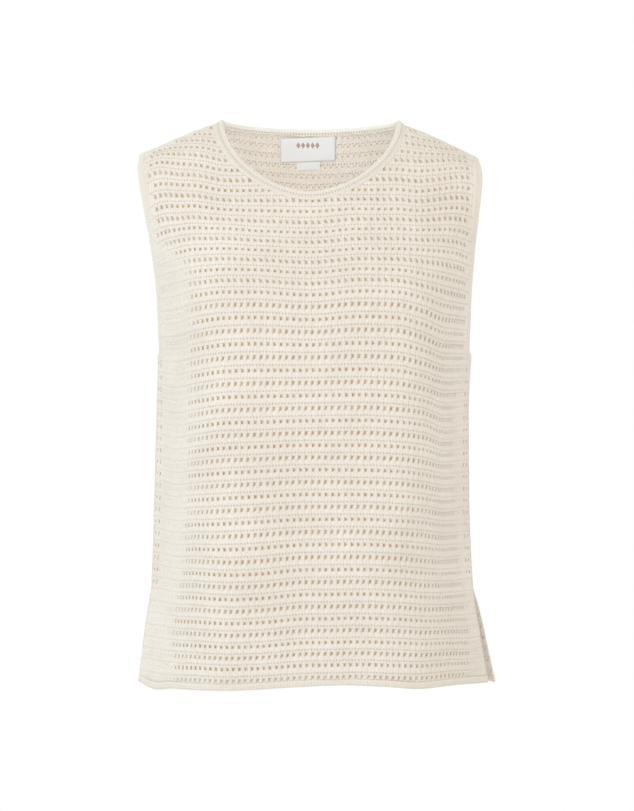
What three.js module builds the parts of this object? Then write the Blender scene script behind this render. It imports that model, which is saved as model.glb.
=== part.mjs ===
// A sleeveless knit top, as it hangs on a body: a front and a back panel of open, tuck-ribbed knit,
// a ribbed band round the neck and each armhole, a plain hem on each panel, an open slit at the foot
// of each side seam, and a woven label with a size tab inside the back neck.
//
// Millimetres. +X is to the right of someone who faces the front, -Y is the front and +Z is up. The
// origin lies between the two points where the shoulder seams meet the neck. Every panel is a wall of
// even thickness about a middle surface, and that surface is a distance in front of or behind the
// plane y = 0, which holds the side seams and the shoulder seams.
import * as THREE from 'three';
import { mergeVertices } from 'three/addons/utils/BufferGeometryUtils.js';

// ---- Driving dimensions ----
const CLOTH = 2.2; // thickness of the knit
const BAND_CLOTH = 2.6; // thickness of the ribbed bands and the hems
const LABEL_CLOTH = 1.0; // thickness of the folded label tape
const SEAM = 0.3; // gap between neighbouring pieces
const LABEL_GAP = 1.1; // between the panel's middle facets and the label, which is flatter
const NECK_BAND = 8.6; // width of the neck band
const ARMHOLE_BAND = 7.6; // width of the armhole bands
const HEM_BAND = 6.6; // height of the hems
const HEM_Z = -576; // level of the hem, before its waves
const SLIT_TOP_Z = -474; // top of the side slits
const UNDERARM_Z = -247; // top of the side seams, where the armholes start
const YOKE_Z = -90; // above this the panel's rows fan out round the neck
const NECK_HALF = 96.6; // half the width of the cut neck hole at the shoulder seam
const NECK_CURVE = 1.75; // 2 is an ellipse, 1 a straight V
const FRONT_NECK_Z = -86; // lowest point of the cut front neck
const BACK_NECK_Z = -10; // lowest point of the cut back neck

// Across half a panel, from the centre line to the side.
const COLUMNS = 12;

// The body's section at each level: how far out the left and right sides are, how far the front and
// back stand from the seam plane, how square the section is (2 would be an ellipse), and how far its
// sides are pinched into a fin along the side seam (1 is not at all). Above the underarm the sides
// are where the chest would carry on to, past the armhole's edge.
const SECTIONS = [
  { z: -580, left: 176.0, right: 183.0, front: 108, back: 100, square: 4.2, fin: 1.1 },
  { z: -520, left: 169.2, right: 173.5, front: 117, back: 106, square: 4.8, fin: 1.4 },
  { z: -470, left: 162.2, right: 166.5, front: 124, back: 111, square: 5.4, fin: 1.7 },
  { z: -390, left: 159.6, right: 163.2, front: 129, back: 115, square: 6.0, fin: 1.8 },
  { z: -300, left: 157.2, right: 162.6, front: 132, back: 118, square: 5.8, fin: 1.6 },
  { z: -247, left: 155.8, right: 164.8, front: 133, back: 119, square: 5.2, fin: 1.2 },
  { z: -215, left: 162.5, right: 170.0, front: 133, back: 119, square: 4.8, fin: 1.12 },
  { z: -180, left: 168.5, right: 176.0, front: 133, back: 119, square: 4.4, fin: 1.05 },
  { z: -130, left: 184.0, right: 190.0, front: 133, back: 119, square: 4.0, fin: 1.0 },
  { z: -80, left: 226.0, right: 230.0, front: 133, back: 119, square: 4.0, fin: 1.0 },
  { z: -30, left: 300.0, right: 300.0, front: 133, back: 119, square: 4.0, fin: 1.0 },
];

// How far out the panels' cut edge is round each armhole, from the underarm up to the shoulder.
const ARMHOLES = [
  { z: -247, left: 155.8, right: 164.8 },
  { z: -244.5, left: 153.2, right: 162.2 },
  { z: -238, left: 151.8, right: 160.6 },
  { z: -225, left: 151.6, right: 160.4 },
  { z: -205, left: 152.0, right: 160.8 },
  { z: -180, left: 152.6, right: 161.1 },
  { z: -155, left: 154.5, right: 162.2 },
  { z: -130, left: 157.6, right: 163.5 },
  { z: -105, left: 160.8, right: 165.2 },
  { z: -80, left: 164.4, right: 167.2 },
  { z: -60, left: 167.4, right: 169.0 },
  { z: -45, left: 169.3, right: 168.6 },
  { z: -30, left: 168.4, right: 165.8 },
];

// The shoulder line seen from the front: the seams slope down from the neck to the armholes.
const SHOULDERS = [
  { x: -178, z: -36.2 },
  { x: -95, z: -3.0 },
  { x: 0, z: 16.0 },
  { x: 95, z: -4.4 },
  { x: 150, z: -27.4 },
  { x: 178, z: -41.6 },
];

// How the two faces of the top differ: which way they face, the level where they start to lean in
// towards the shoulders, how late they do most of it, and how round they are at the shoulder line.
const FRONT = {
  name: 'front', way: -1, leanFromZ: -186, lean: 1.25, round: 1.4, neckZ: FRONT_NECK_Z,
};
const BACK = {
  name: 'back', way: 1, leanFromZ: -215, lean: 3.0, round: 1.5, neckZ: BACK_NECK_Z,
};

// The lower edge dips and lifts by a few millimetres, as hanging cloth does.
const HEM_WAVES = {
  front: [
    { x: -180, rise: 1 },
    { x: -156, rise: -5 },
    { x: -138, rise: -1.8 },
    { x: -82, rise: -0.4 },
    { x: -10, rise: 3.9 },
    { x: 33, rise: 5.7 },
    { x: 72, rise: 4.1 },
    { x: 113, rise: 0.6 },
    { x: 142, rise: 1.5 },
    { x: 186, rise: -1.8 },
  ],
  back: [
    { x: -186, rise: 1 },
    { x: -120, rise: -2 },
    { x: -40, rise: 2 },
    { x: 60, rise: -1 },
    { x: 130, rise: 3 },
    { x: 192, rise: -2 },
  ],
};

// Below the slit's top the two edges part: how far each panel's edge stands forward or back of the
// seam plane, and how much further out the back panel's edge reaches on each side.
const SLITS = [
  { z: -580, open: 5.0, backLeft: -3.0, backRight: 8.2 },
  { z: -525, open: 2.6, backLeft: -1.2, backRight: 5.2 },
  { z: -500, open: 1.4, backLeft: -0.6, backRight: 3.4 },
  { z: -474, open: 0, backLeft: 0, backRight: 0 },
  { z: 20, open: 0, backLeft: 0, backRight: 0 },
];

// Levels of the panels' rows, from just above the hem to the yoke.
const ROW_LEVELS = [
  HEM_Z + HEM_BAND + SEAM, -548, -520, -497, SLIT_TOP_Z, -445, -415, -380, -345, -310, -280, -262,
  UNDERARM_Z, -246, -243, -236, -224, -206, -186, -166, -147, -129, -115, -102, YOKE_Z,
];
const YOKE_ROWS = 10;
const BACK_CENTRE_ROWS = 5; // of the back's yoke rows, those below the neck hole

// The label lies inside the back panel, turned a little. Its size tab hangs from its lower edge.
const LABEL = { left: -31.4, right: 26.6, top: -11.0, bottom: -34.4, tilt: 0.03 };
const SIZE_TAB = { left: -14.2, right: 10.6, top: -34.7, bottom: -42.6, tilt: 0.03 };

// ---- Materials ----
const KNIT = new THREE.MeshStandardMaterial({ color: 0xe4dbcd, roughness: 0.93, metalness: 0 });
const RIB = new THREE.MeshStandardMaterial({ color: 0xe6ddd0, roughness: 0.92, metalness: 0 });
const TAPE = new THREE.MeshStandardMaterial({ color: 0xeeedea, roughness: 0.6, metalness: 0 });

// ---- Curves through the tables ----

// A smooth curve through a table's rows that never swings past them.
function curve(table, key, column) {
  const at = table.map((row) => row[key]);
  const value = table.map((row) => row[column]);
  const last = at.length - 1;
  const rise = (k) => (value[k + 1] - value[k]) / (at[k + 1] - at[k]);
  const slopes = at.map((_, k) => {
    if (k === 0) return rise(0);
    if (k === last) return rise(last - 1);
    const before = rise(k - 1);
    const after = rise(k);
    return before * after <= 0 ? 0 : (2 * before * after) / (before + after);
  });
  return (wanted) => {
    const here = Math.min(Math.max(wanted, at[0]), at[last]);
    let k = 0;
    while (k < last - 1 && here > at[k + 1]) k += 1;
    const step = at[k + 1] - at[k];
    const t = (here - at[k]) / step;
    const start = (1 + 2 * t) * (1 - t) ** 2 * value[k] + t * (1 - t) ** 2 * step * slopes[k];
    return start + t * t * (3 - 2 * t) * value[k + 1] + t * t * (t - 1) * step * slopes[k + 1];
  };
}

function curves(table, key) {
  const columns = Object.keys(table[0]).filter((column) => column !== key);
  return Object.fromEntries(columns.map((column) => [column, curve(table, key, column)]));
}

const section = curves(SECTIONS, 'z');
const armhole = curves(ARMHOLES, 'z');
const slit = curves(SLITS, 'z');
const shoulder = curve(SHOULDERS, 'x', 'z');
const hemWave = {
  front: curve(HEM_WAVES.front, 'x', 'rise'),
  back: curve(HEM_WAVES.back, 'x', 'rise'),
};

// ---- The middle surface ----

// How far out a face's side is at this level, on the side that x is on.
function sideAt(face, side, z) {
  const flare = face === BACK ? slit[side < 0 ? 'backLeft' : 'backRight'](z) : 0;
  return section[side < 0 ? 'left' : 'right'](z) + flare;
}

// How far up this is, from where the face starts to lean in (0) to the shoulder line (1).
function riseAt(face, x, z) {
  return Math.max(0, (z - face.leanFromZ) / (shoulder(x) - face.leanFromZ));
}

// How far the middle of the cloth stands from the seam plane.
function depthAt(face, x, z) {
  const outness = Math.abs(x) / sideAt(face, x, z);
  const fullness = 1 - outness ** section.square(z);
  const across = Math.sign(fullness) * Math.abs(fullness) ** section.fin(z);
  const leaning = Math.max(0, 1 - riseAt(face, x, z) ** face.lean) ** (1 / face.round);
  return section[face.name](z) * across * leaning + slit.open(z) * outness ** 6;
}

function pointAt(face, x, z) {
  return new THREE.Vector3(x, face.way * (depthAt(face, x, z) + SEAM / 2), z);
}

// The outward normal. One tangent runs along the shoulder's slope, so that it is true at the seam.
function normalAt(face, x, z) {
  const slope = (shoulder(x + 1) - shoulder(x - 1)) / 2;
  const lift = slope * riseAt(face, x, z);
  const along = pointAt(face, x + 1, z + lift).sub(pointAt(face, x - 1, z - lift));
  const up = pointAt(face, x, z).sub(pointAt(face, x, z - 1));
  return along.cross(up).normalize().multiplyScalar(face.way === -1 ? 1 : -1);
}

// ---- Walls ----

// Collects the triangles of one piece and turns them into one closed mesh.
class Skin {
  constructor() {
    this.corners = [];
  }

  quad(a, b, c, d) {
    this.corners.push(a, b, c, a, c, d);
  }

  mesh(name, material) {
    const positions = this.corners.flatMap((corner) => corner.toArray());
    const loose = new THREE.BufferGeometry();
    loose.setAttribute('position', new THREE.Float32BufferAttribute(positions, 3));
    const geometry = mergeVertices(loose, 1e-3);
    if (this.volume() < 0) {
      const index = Array.from(geometry.index.array).reverse();
      geometry.setIndex(index);
    }
    geometry.computeVertexNormals();
    const mesh = new THREE.Mesh(geometry, material);
    mesh.name = name;
    return mesh;
  }

  volume() {
    let sum = 0;
    for (let k = 0; k < this.corners.length; k += 3) {
      const [a, b, c] = this.corners.slice(k, k + 3);
      sum += a.dot(b.clone().cross(c));
    }
    return sum;
  }
}

// The outer and inner points of a wall about the middle surface. Where the wall ends in a seam with
// the other face, both lie in a plane of even y, as a mitre, so that the two walls meet and don't
// cross. lift moves the wall off the surface, outwards.
function wallPoint(face, spot, thickness, lift = 0) {
  const middle = pointAt(face, spot.x, spot.z);
  const normal = normalAt(face, spot.x, spot.z);
  if (spot.seam) {
    const flat = normal.x * normal.x + normal.z * normal.z;
    normal.set(normal.x / flat, 0, normal.z / flat);
  }
  return {
    outer: middle.clone().addScaledVector(normal, lift + thickness / 2),
    inner: middle.clone().addScaledVector(normal, lift - thickness / 2),
  };
}

// Adds a block of wall to a skin. rows is a grid of spots, and edges names the sides of the grid that
// are true edges of the piece. The other sides join another block.
function addWall(skin, face, rows, edges, thickness, lift) {
  const grid = rows.map((row) => row.map((spot) => wallPoint(face, spot, thickness, lift)));
  const top = grid.length - 1;
  const right = grid[0].length - 1;
  for (let j = 0; j < top; j += 1) {
    for (let i = 0; i < right; i += 1) {
      const corners = [grid[j][i], grid[j][i + 1], grid[j + 1][i + 1], grid[j + 1][i]];
      skin.quad(...corners.map((corner) => corner.outer));
      skin.quad(...corners.map((corner) => corner.inner).reverse());
    }
  }
  const addEdge = (from, to) => skin.quad(from.inner, to.inner, to.outer, from.outer);
  for (let i = 0; i < right; i += 1) {
    if (edges.bottom) addEdge(grid[0][i], grid[0][i + 1]);
    if (edges.top) addEdge(grid[top][i + 1], grid[top][i]);
  }
  for (let j = 0; j < top; j += 1) {
    if (edges.right) addEdge(grid[j][right], grid[j + 1][right]);
    if (edges.left) addEdge(grid[j + 1][0], grid[j][0]);
  }
}

// ---- Outlines ----

// Where a panel's own edge is at this level: the side seam, or the armhole above the underarm.
function edgeAt(face, side, z) {
  return z > UNDERARM_Z ? armhole[side < 0 ? 'left' : 'right'](z) : sideAt(face, side, z);
}

// Columns lie closer together towards the side, where the cloth turns.
function shareOf(column) {
  const even = column / COLUMNS;
  return even * (1.3 - 0.3 * even * even);
}

// One level row of spots across a panel, with the hem's waves fading out above the slits.
function levelRow(face, level) {
  const fade = THREE.MathUtils.clamp((SLIT_TOP_Z - level) / (SLIT_TOP_Z - HEM_Z), 0, 1);
  const row = [];
  for (let column = -COLUMNS; column <= COLUMNS; column += 1) {
    const share = shareOf(Math.abs(column));
    const about = Math.sign(column) * share * edgeAt(face, column, level);
    const z = level + fade * hemWave[face.name](about);
    const x = Math.sign(column) * share * edgeAt(face, column, z);
    row.push({ x, z, seam: Math.abs(column) === COLUMNS && level <= UNDERARM_Z });
  }
  return row;
}

// The cut neck hole on one side, from the centre's lowest point up to the shoulder seam.
function neckSpots(face, side, count) {
  const spots = [];
  for (let k = 0; k < count; k += 1) {
    const angle = (Math.PI / 2) * (1 - k / (count - 1));
    const x = side * NECK_HALF * Math.max(0, Math.cos(angle)) ** (2 / NECK_CURVE);
    const top = shoulder(side * NECK_HALF);
    const drop = Math.sin(angle) ** (2 / NECK_CURVE);
    spots.push({ x, z: top + (face.neckZ - top) * drop });
  }
  return spots;
}

// The height of the shoulder seam's end at the armhole, and its place.
function shoulderEnd(side) {
  const x = side * edgeAt(FRONT, side, -34);
  return { x, z: shoulder(x) };
}

// The rows of one side's yoke. Each runs from the centre or the neck hole out to the armhole, and
// the last one is the shoulder seam.
function yokeRows(face, side) {
  const centreRows = face === BACK ? BACK_CENTRE_ROWS : 0;
  const centre = Array.from({ length: centreRows }, (_, k) => ({
    x: 0,
    z: YOKE_Z + ((face.neckZ - YOKE_Z) * k) / centreRows,
  }));
  const inner = [...centre, ...neckSpots(face, side, YOKE_ROWS - centreRows)];
  const start = face === BACK ? YOKE_Z : Math.max(YOKE_Z, face.neckZ - 4);
  const end = shoulderEnd(side);
  return inner.map((from, j) => {
    const t = j / (YOKE_ROWS - 1);
    const last = j === YOKE_ROWS - 1;
    const z = start + (end.z - start) * t;
    const to = last ? end : { x: side * edgeAt(face, side, z), z };
    const row = [];
    for (let column = 0; column <= COLUMNS; column += 1) {
      const share = shareOf(column);
      const x = from.x + (to.x - from.x) * share;
      const level = last ? shoulder(x) : from.z + (to.z - from.z) * share;
      row.push({ x, z: level, seam: last });
    }
    return row;
  });
}

// ---- Pieces ----

function panel(face) {
  const skin = new Skin();
  const left = yokeRows(face, -1);
  const right = yokeRows(face, 1);
  const meeting = face === BACK ? BACK_CENTRE_ROWS : 0;
  const joined = (j) => [...left[j].slice(1).reverse(), ...right[j]];
  const body = ROW_LEVELS.slice(0, -1).map((level) => levelRow(face, level));
  for (let j = 0; j <= meeting; j += 1) body.push(joined(j));
  addWall(skin, face, body, { bottom: true, left: true, right: true }, CLOTH);
  const straps = { top: true, left: true, right: true };
  addWall(skin, face, right.slice(meeting), straps, CLOTH);
  const mirrored = left.slice(meeting).map((row) => [...row].reverse());
  addWall(skin, face, mirrored, straps, CLOTH);
  return skin.mesh(`${face.name}_panel`, KNIT);
}

function hem(face) {
  const skin = new Skin();
  const rows = [levelRow(face, HEM_Z), levelRow(face, HEM_Z + HEM_BAND)];
  const edges = { bottom: true, top: true, left: true, right: true };
  addWall(skin, face, rows, edges, BAND_CLOTH);
  return skin.mesh(`${face.name}_hem`, RIB);
}

// The panels' cut edge as stations for a band: a point on the middle surface and its normal. Where
// the front meets the back the normal is shared, in the seam plane.
function station(face, spot) {
  const normal = normalAt(face, spot.x, spot.z);
  if (!spot.seam) return { point: pointAt(face, spot.x, spot.z), normal };
  normal.y = 0;
  return { point: new THREE.Vector3(spot.x, 0, spot.z), normal: normal.normalize() };
}

// A band swept round a closed loop of stations, on the side of the loop that faces the hole. Its
// outer edge is rounded by two bevels.
function band(name, stations, width) {
  const half = BAND_CLOTH / 2;
  const bevel = 0.7;
  const profile = [
    { reach: SEAM, off: -half },
    { reach: SEAM, off: half },
    { reach: width - bevel, off: half },
    { reach: width, off: half - bevel },
    { reach: width, off: bevel - half },
    { reach: width - bevel, off: -half },
  ];
  const count = stations.length;
  const hole = stations.reduce((sum, at) => sum.add(at.point), new THREE.Vector3());
  hole.divideScalar(count);
  const rings = stations.map(({ point, normal }, k) => {
    const before = stations[(k + count - 1) % count].point;
    const after = stations[(k + 1) % count].point;
    const inwards = after.clone().sub(before).cross(normal).normalize();
    if (inwards.dot(hole.clone().sub(point)) < 0) inwards.negate();
    const place = ({ reach, off }) =>
      point.clone().addScaledVector(inwards, reach).addScaledVector(normal, off);
    return profile.map(place);
  });
  const skin = new Skin();
  rings.forEach((ring, k) => {
    const next = rings[(k + 1) % count];
    ring.forEach((corner, side) => {
      const other = (side + 1) % ring.length;
      skin.quad(corner, next[side], next[other], ring[other]);
    });
  });
  return skin.mesh(name, RIB);
}

function neckBand() {
  const run = (face, side) => yokeRows(face, side)
    .slice(face === BACK ? BACK_CENTRE_ROWS : 0)
    .map((row) => station(face, row[0]));
  const frontLeft = run(FRONT, -1).reverse();
  const frontRight = run(FRONT, 1).slice(1);
  const backRight = run(BACK, 1).reverse().slice(1);
  const backLeft = run(BACK, -1).slice(1, -1);
  return band('neck_band', [...frontLeft, ...frontRight, ...backRight, ...backLeft], NECK_BAND);
}

function armholeBand(side) {
  const run = (face) => {
    const column = side < 0 ? 0 : 2 * COLUMNS;
    const lower = ROW_LEVELS.filter((level) => level >= UNDERARM_Z && level < YOKE_Z)
      .map((level) => levelRow(face, level)[column]);
    const upper = yokeRows(face, side).map((row) => row[COLUMNS]);
    return [...lower, ...upper].map((spot) => station(face, spot));
  };
  const upFront = run(FRONT);
  const downBack = run(BACK).reverse().slice(1, -1);
  const name = `armhole_band_${side < 0 ? 'left' : 'right'}`;
  return band(name, [...upFront, ...downBack], ARMHOLE_BAND);
}

// A piece of tape that lies on the inner side of the back panel.
function tape(name, size) {
  const across = 6;
  const down = 3;
  const middle = (size.left + size.right) / 2;
  const rows = [];
  for (let j = 0; j <= down; j += 1) {
    const row = [];
    for (let i = 0; i <= across; i += 1) {
      const x = size.left + ((size.right - size.left) * i) / across;
      const z = size.bottom + ((size.top - size.bottom) * j) / down;
      row.push({ x, z: z + size.tilt * (x - middle) });
    }
    rows.push(row);
  }
  const skin = new Skin();
  const lift = -(CLOTH / 2 + LABEL_GAP + LABEL_CLOTH / 2);
  const edges = { bottom: true, top: true, left: true, right: true };
  addWall(skin, BACK, rows, edges, LABEL_CLOTH, lift);
  return skin.mesh(name, TAPE);
}

// ---- The top ----

const top = new THREE.Group();
top.add(panel(FRONT), panel(BACK));
top.add(neckBand(), armholeBand(-1), armholeBand(1));
top.add(hem(FRONT), hem(BACK));
top.add(tape('neck_label', LABEL), tape('size_label', SIZE_TAB));

export default top;
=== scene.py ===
"""Looks for a sleeveless top in openwork knit, hollow as if worn, with ribbed bands at its neck and
armholes, plain hems, side slits and a woven label.

Lengths in the tables are millimetres: +X right, -Y front, +Z up, origin between the shoulders'
neck points. The tables of the form are those of the CAD, so the cloth lies where its solids are.
"""
import bisect
import math
import random
from functools import partial

import bmesh
import bpy
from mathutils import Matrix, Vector


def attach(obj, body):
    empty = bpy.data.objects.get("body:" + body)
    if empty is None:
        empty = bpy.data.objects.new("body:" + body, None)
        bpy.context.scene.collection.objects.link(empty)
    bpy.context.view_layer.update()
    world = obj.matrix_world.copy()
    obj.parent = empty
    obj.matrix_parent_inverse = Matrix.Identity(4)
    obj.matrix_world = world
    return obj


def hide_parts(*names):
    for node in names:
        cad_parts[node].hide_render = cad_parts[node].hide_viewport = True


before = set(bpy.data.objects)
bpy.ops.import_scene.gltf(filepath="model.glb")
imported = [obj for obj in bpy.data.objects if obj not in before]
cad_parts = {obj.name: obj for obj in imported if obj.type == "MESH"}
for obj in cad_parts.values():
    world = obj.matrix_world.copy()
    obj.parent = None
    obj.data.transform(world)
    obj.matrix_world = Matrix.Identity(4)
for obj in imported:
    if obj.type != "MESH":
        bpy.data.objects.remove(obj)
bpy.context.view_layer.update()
MM = 0.001

# ---- Camera ----

lens = bpy.data.cameras.new("camera")
lens.sensor_fit = "VERTICAL"
lens.sensor_height = 36.0
lens.lens = 129.3
lens.clip_end = 40.0
camera = bpy.data.objects.new("camera", lens)
camera.location = (0.0072, -3.0, -0.2925)
camera.rotation_euler = (math.radians(90), 0, 0)
bpy.context.collection.objects.link(camera)
bpy.context.scene.camera = camera

# ---- The form ----

# How far apart the two panels lie at the seams.
SEAM = 0.3
HEM_Z = -576.0
HEM_BAND = 6.6
SLIT_TOP_Z = -474.0
UNDERARM_Z = -247.0
NECK_HALF = 96.6
NECK_CURVE = 1.75
# How much steeper the neck band stands at the left and the right shoulder seam.
NECK_TILT = {-1: 0.35, 1: 0.6}

# z, left, right, front, back, and the two powers that shape the section: square and fin
SECTIONS = [
    (-580, 176, 183, 108, 100, 4.2, 1.10),
    (-520, 169.2, 173.5, 117, 106, 4.8, 1.40),
    (-470, 162.2, 166.5, 124, 111, 5.4, 1.70),
    (-390, 159.6, 163.2, 129, 115, 6, 1.80),
    (-300, 157.2, 162.6, 132, 118, 5.8, 1.60),
    (-247, 155.8, 164.8, 133, 119, 5.2, 1.20),
    (-215, 162.5, 170, 133, 119, 4.8, 1.12),
    (-180, 168.5, 176, 133, 119, 4.4, 1.05),
    (-130, 184, 190, 133, 119, 4, 1.00),
    (-80, 226, 230, 133, 119, 4, 1.00),
    (-30, 300, 300, 133, 119, 4, 1.00),
]
# z, left, right
ARMHOLES = [
    (-247, 155.8, 164.8), (-244.5, 153.2, 162.2), (-238, 151.8, 160.6), (-225, 151.6, 160.4),
    (-205, 152, 160.8), (-180, 152.6, 161.1), (-155, 154.5, 162.2), (-130, 157.6, 163.5),
    (-105, 160.8, 165.2), (-80, 164.4, 167.2), (-60, 167.4, 169), (-45, 169.3, 168.6),
    (-30, 168.4, 165.8),
]
# x, z
SHOULDERS = [(-178, -36.2), (-95, -3.0), (0, 16.0), (95, -4.4), (150, -27.4), (178, -41.6)]
# z, open, back_left, back_right
SLITS = [
    (-580, 5, -3, 8.2), (-525, 2.6, -1.2, 5.2), (-500, 1.4, -0.6, 3.4), (-474, 0, 0, 0),
    (20, 0, 0, 0),
]
# x, rise of the hem
FRONT_HEM = [
    (-180, 1), (-156, -5), (-138, -1.8), (-82, -0.4), (-10, 3.9), (33, 5.7), (72, 4.1), (113, 0.6),
    (142, 1.5), (186, -1.8),
]
BACK_HEM = [(-186, 1), (-120, -2), (-40, 2), (60, -1), (130, 3), (192, -2)]


def smooth_curve(rows, column=1):
    """A smooth curve through a table's rows that never swings past them."""
    at = [row[0] for row in rows]
    value = [row[column] for row in rows]
    last = len(at) - 1
    rises = [(value[k + 1] - value[k]) / (at[k + 1] - at[k]) for k in range(last)]
    slopes = [rises[0]]
    for before, after in zip(rises, rises[1:]):
        slopes.append(0 if before * after <= 0 else 2 * before * after / (before + after))
    slopes.append(rises[-1])

    def read(wanted):
        here = clamp(wanted, at[0], at[last])
        k = clamp(bisect.bisect_left(at, here) - 1, 0, last - 1)
        step = at[k + 1] - at[k]
        t = (here - at[k]) / step
        start = (1 + 2 * t) * (1 - t) ** 2 * value[k] + t * (1 - t) ** 2 * step * slopes[k]
        return start + t * t * (3 - 2 * t) * value[k + 1] + t * t * (t - 1) * step * slopes[k + 1]

    return read


def sampled(curve, start, end, step):
    """The same curve read from even samples, which is quicker."""
    count = int(round((end - start) / step))
    values = [curve(start + k * step) for k in range(count + 1)]

    def read(wanted):
        place = clamp((wanted - start) / step, 0, count - 1e-6)
        k = int(place)
        return values[k] + (values[k + 1] - values[k]) * (place - k)

    return read


def clamp(value, low=0, high=1):
    return min(max(value, low), high)


def level_curve(rows, column):
    """A column of a table by height, from below the hem to above the shoulders."""
    return sampled(smooth_curve(rows, column), -600, 40, 0.5)


side_out = {-1: level_curve(SECTIONS, 1), 1: level_curve(SECTIONS, 2)}
fullness = {"front": level_curve(SECTIONS, 3), "back": level_curve(SECTIONS, 4)}
squareness = level_curve(SECTIONS, 5)
finning = level_curve(SECTIONS, 6)
armhole_out = {-1: level_curve(ARMHOLES, 1), 1: level_curve(ARMHOLES, 2)}
slit_open = level_curve(SLITS, 1)
slit_flare = {-1: level_curve(SLITS, 2), 1: level_curve(SLITS, 3)}
shoulder_z = sampled(smooth_curve(SHOULDERS), -200, 200, 0.5)
hem_wave = {"front": smooth_curve(FRONT_HEM), "back": smooth_curve(BACK_HEM)}

FRONT = {"name": "front", "way": -1, "lean_from": -186, "lean": 1.25, "round": 1.4, "neck_z": -86}
BACK = {"name": "back", "way": 1, "lean_from": -215, "lean": 3.0, "round": 1.5, "neck_z": -10}


def side_of(x):
    return -1 if x < 0 else 1


def side_at(face, side, z):
    """How far out the section's side is at this level."""
    flare = slit_flare[side](z) if face is BACK else 0
    return side_out[side](z) + flare


def rise_at(face, x, z):
    """The share of the leaning part's height that lies below this level."""
    return max(0, (z - face["lean_from"]) / (shoulder_z(x) - face["lean_from"]))


def depth_at(face, x, z):
    """How far the middle of the cloth stands from the plane of the side seams."""
    out = abs(x) / side_at(face, side_of(x), z)
    full = 1 - out ** squareness(z)
    across = math.copysign(abs(full) ** finning(z), full)
    leaning = max(0, 1 - rise_at(face, x, z) ** face["lean"]) ** (1 / face["round"])
    return fullness[face["name"]](z) * across * leaning + slit_open(z) * out**6


def point_at(face, x, z):
    """A point of the form. The two panels meet with a seam's gap between them."""
    return Vector((x, face["way"] * (depth_at(face, x, z) + SEAM / 2), z))


def normal_at(face, x, z):
    """Outward normal. One tangent follows the shoulder's slope, so that it is true at the seam."""
    slope = (shoulder_z(x + 1) - shoulder_z(x - 1)) / 2
    lift = slope * rise_at(face, x, z)
    along = point_at(face, x + 1, z + lift) - point_at(face, x - 1, z - lift)
    up = point_at(face, x, z) - point_at(face, x, z - 1)
    return along.cross(up).normalized() * -face["way"]


def hem_line(face, x, level):
    """The height of a level near the hem, with the waves that fade out above the slits."""
    fade = clamp((SLIT_TOP_Z - level) / (SLIT_TOP_Z - HEM_Z))
    return level + fade * hem_wave[face["name"]](x)


# ---- The openwork knit ----

# Each eyelet takes up a cell of two wales and one pattern row, which is cut into strips. The
# eyelet is the middle strip of the lowest part of its cell.
CELL_WIDE = 6.4
WALE_WIDE = 3.2
ROW_TALL = 12.4
COURSES_A_ROW = 5
HALF_CELLS = 37
CELL_SPLIT = 3
HALF_STRIPS = HALF_CELLS * CELL_SPLIT
STRIP_WIDE = 2.13
PATTERN_ROWS = 53
PART_LEVELS = (-0.16, 0.16, 0.52)
LINES_A_ROW = len(PART_LEVELS)
# The pattern row that the lowest line of the grid lies on, at the hem.
EDGE_ROW = -0.42
# How far the face of the knit stands off the form, and how thick its wall is.
FACE_OFF = 0.9
WALL_THICK = 1.3
# The levels and the places across at which the cloth's lengths are measured.
WIDTHS_FROM = -580
WIDTHS_STEP = 10
CLIMB_REACH = 204
CLIMB_STEP = 6

# Pattern row, height of that row on the cloth at the centre. Above the chest the height is
# measured along the leaning cloth.
FRONT_ROWS = [
    (EDGE_ROW, -566.5), (0, -561.3), (3, -526.7), (9, -454.4), (13, -404.9), (17, -355.5),
    (21, -307.3), (25, -257.1), (29, -207.8), (31, -183.4), (33, -160.8), (35, -139),
    (37, -116.6), (39, -92.2), (41, -66.3), (43, -40), (45, -13.5), (47, 14), (53, 96),
]
BACK_ROWS = [
    (EDGE_ROW, -568.5), (0, -563.3), (3, -526.7), (9, -454.4), (13, -404.9), (17, -355.5),
    (21, -307.3), (25, -257.1), (29, -207.8), (41, -56.5), (43, -33.8), (45, -8), (53, 90),
]

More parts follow.
